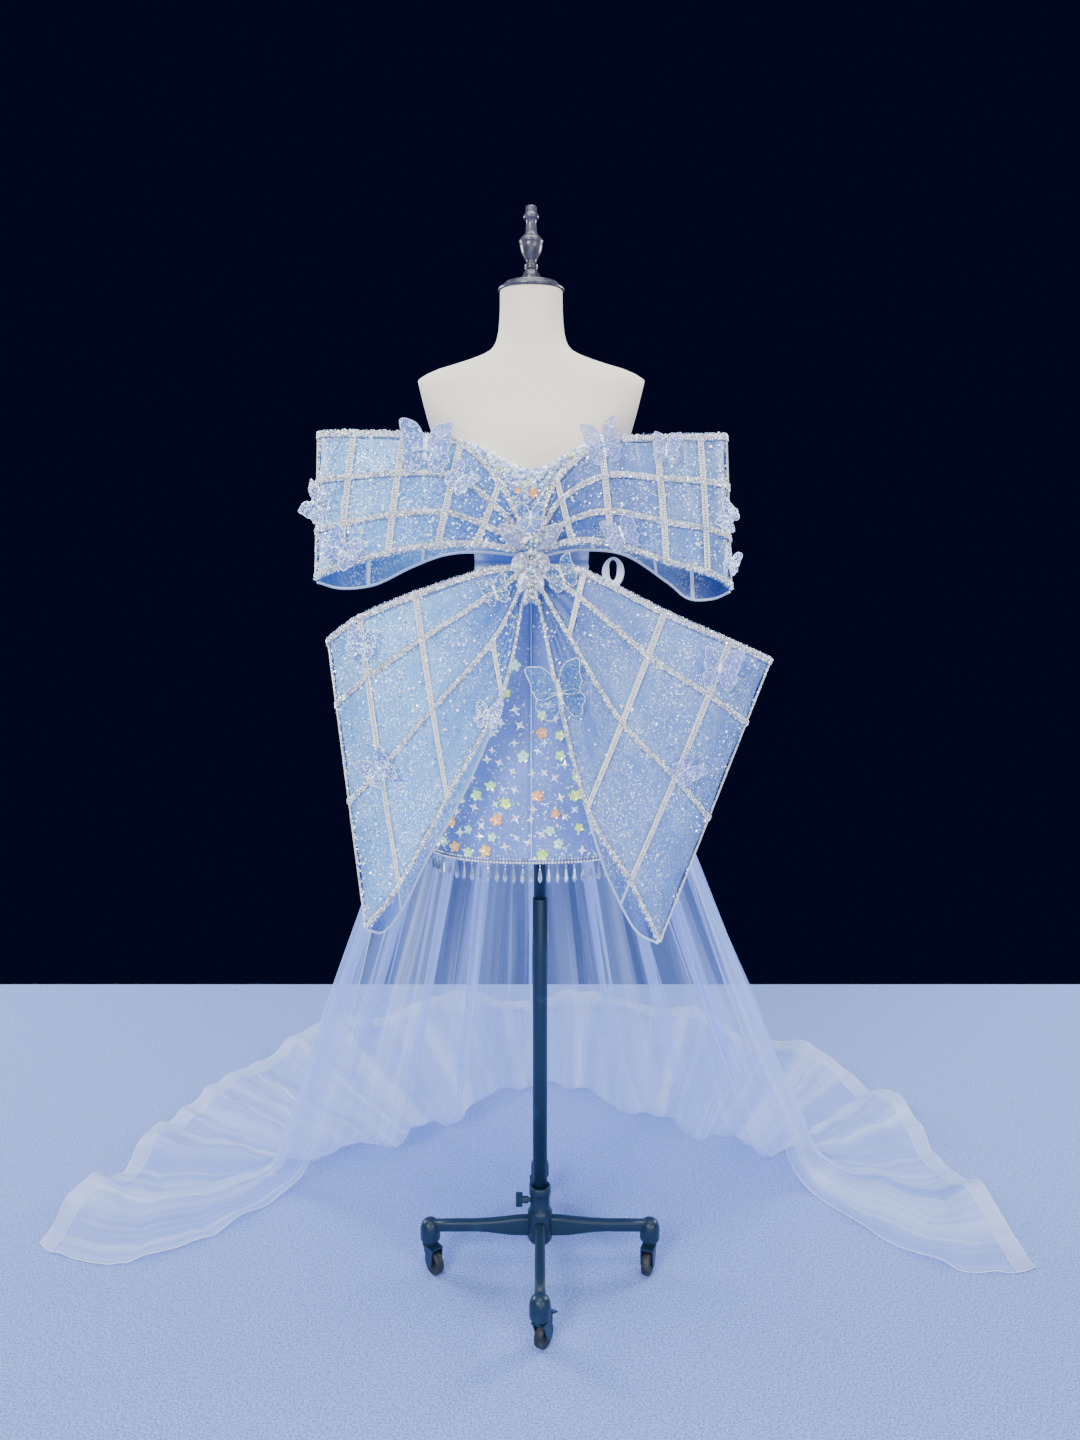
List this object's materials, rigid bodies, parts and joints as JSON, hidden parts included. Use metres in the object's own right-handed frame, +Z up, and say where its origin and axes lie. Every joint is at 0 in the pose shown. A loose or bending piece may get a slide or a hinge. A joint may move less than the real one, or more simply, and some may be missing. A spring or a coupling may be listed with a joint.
{
  "type": "mini prom dress on a dress form and stand",
  "caption": "Strapless sequinned mini dress with a giant boned organza bow, butterflies and a sheer pleated train, worn by a limbless dress form on a castor stand.",
  "frame": {"origin": "bottom centre of the bounding box, on the floor; the stand's pole stands 0.020 m to +X and 0.470 m to -Y of it, because the train spreads behind", "axes": "+X to the wearer's left, +Y to the back, along the train, +Z up; the dress faces -Y"},
  "size_m": [1.8746, 1.3894, 1.8493],
  "materials": {
    "jersey": "matt stretch jersey over a padded shell",
    "dark_metal": "dark satin lacquer",
    "stand_paint": "smooth dark blue-black paint",
    "wheel_rubber": "matt",
    "sequin_satin": "blue-lilac satin covered with sequins",
    "satin": "satin, soft sheen",
    "steel": "polished",
    "organza": "sheer stiffened organza with fine glitter",
    "bead_trim": "ivory ribbon sewn with beads and small stones",
    "crystal": "clear and pearly beads",
    "tulle": "sheer white tulle"
  },
  "bodies": {
    "dress_on_form": {"form_torso": "jersey", "form_arm_plate_left": "jersey", "form_arm_plate_right": "jersey", "form_neck_cap": "dark_metal", "form_finial": "dark_metal", "form_base_flange": "dark_metal", "pole_upper": "stand_paint", "pole_lower": "stand_paint", "stand_base": "stand_paint", "bodice_front": "sequin_satin", "bodice_back_left": "sequin_satin", "bodice_back_right": "sequin_satin", "skirt_front_left": "sequin_satin", "skirt_front_right": "sequin_satin", "skirt_back_left": "sequin_satin", "skirt_back_right": "sequin_satin", "back_zip": "satin", "zip_slider": "steel", "loop_upper_left_front": "organza", "loop_upper_left_ribs": "bead_trim", "loop_upper_left_back": "organza", "loop_upper_left_binding": "satin", "loop_upper_right_front": "organza", "loop_upper_right_ribs": "bead_trim", "loop_upper_right_back": "organza", "loop_upper_right_binding": "satin", "loop_lower_left_front": "organza", "loop_lower_left_ribs": "bead_trim", "loop_lower_left_back": "organza", "loop_lower_left_binding": "satin", "loop_lower_right_front": "organza", "loop_lower_right_ribs": "bead_trim", "loop_lower_right_back": "organza", "loop_lower_right_binding": "satin", "bow_centre_band": "satin", "bow_brooch": "crystal", "ribbon_hanger_loop": "satin", "butterfly_1": "organza", "butterfly_2": "organza", "butterfly_3": "organza", "butterfly_4": "organza", "butterfly_5": "organza", "butterfly_6": "organza", "butterfly_7": "organza", "butterfly_8": "organza", "bead_fringe": "crystal", "train": "tulle", "train_hem_band": "tulle", "train_waist_tape": "satin"},
    "front_castor": {"castor_front_fork": "stand_paint"},
    "front_wheel": {"castor_front_wheel": "wheel_rubber"},
    "right_castor": {"castor_right_fork": "stand_paint"},
    "right_wheel": {"castor_right_wheel": "wheel_rubber"},
    "rear_castor": {"castor_rear_fork": "stand_paint"},
    "rear_wheel": {"castor_rear_wheel": "wheel_rubber"},
    "left_castor": {"castor_left_fork": "stand_paint"},
    "left_wheel": {"castor_left_wheel": "wheel_rubber"},
    "brake_lever": {"castor_front_brake_lever": "stand_paint"},
    "clamp_screw": {"height_clamp_screw": "stand_paint"},
    "zip_pull": {"zip_pull": "steel"}
  },
  "joints": [
    {"name": "front_castor_swivel", "type": "hinge", "parent": "dress_on_form", "child": "front_castor", "pos_m": [0.02019, -0.67147, 0.057], "axis": [0, 0, 1], "continuous": true},
    {"name": "front_wheel_spin", "type": "hinge", "parent": "front_castor", "child": "front_wheel", "pos_m": [0.02619, -0.66107, 0.022], "axis": [-0.866, 0.5, 0], "continuous": true},
    {"name": "right_castor_swivel", "type": "hinge", "parent": "dress_on_form", "child": "right_castor", "pos_m": [0.22169, -0.46997, 0.057], "axis": [0, 0, 1], "continuous": true},
    {"name": "right_wheel_spin", "type": "hinge", "parent": "right_castor", "child": "right_wheel", "pos_m": [0.21759, -0.48124, 0.022], "axis": [0.9397, -0.342, 0], "continuous": true},
    {"name": "rear_castor_swivel", "type": "hinge", "parent": "dress_on_form", "child": "rear_castor", "pos_m": [0.02019, -0.26847, 0.057], "axis": [0, 0, 1], "continuous": true},
    {"name": "rear_wheel_spin", "type": "hinge", "parent": "rear_castor", "child": "rear_wheel", "pos_m": [0.01419, -0.25807, 0.022], "axis": [-0.866, -0.5, 0], "continuous": true},
    {"name": "left_castor_swivel", "type": "hinge", "parent": "dress_on_form", "child": "left_castor", "pos_m": [-0.18131, -0.46997, 0.057], "axis": [0, 0, 1], "continuous": true},
    {"name": "left_wheel_spin", "type": "hinge", "parent": "left_castor", "child": "left_wheel", "pos_m": [-0.17359, -0.47916, 0.022], "axis": [0.766, 0.6428, 0], "continuous": true},
    {"name": "brake_lever_press", "type": "hinge", "parent": "front_castor", "child": "brake_lever", "pos_m": [0.03164, -0.65164, 0.0503], "axis": [-0.866, 0.5, 0], "range_deg": [0, 12]},
    {"name": "clamp_screw_turn", "type": "hinge", "parent": "dress_on_form", "child": "clamp_screw", "pos_m": [-0.00981, -0.46997, 0.14], "axis": [1, 0, 0], "continuous": true},
    {"name": "zip_pull_swing", "type": "hinge", "parent": "dress_on_form", "child": "zip_pull", "pos_m": [0.00619, -0.37165, 1.42697], "axis": [1, 0, 0], "range_deg": [0, 110]}
  ]
}
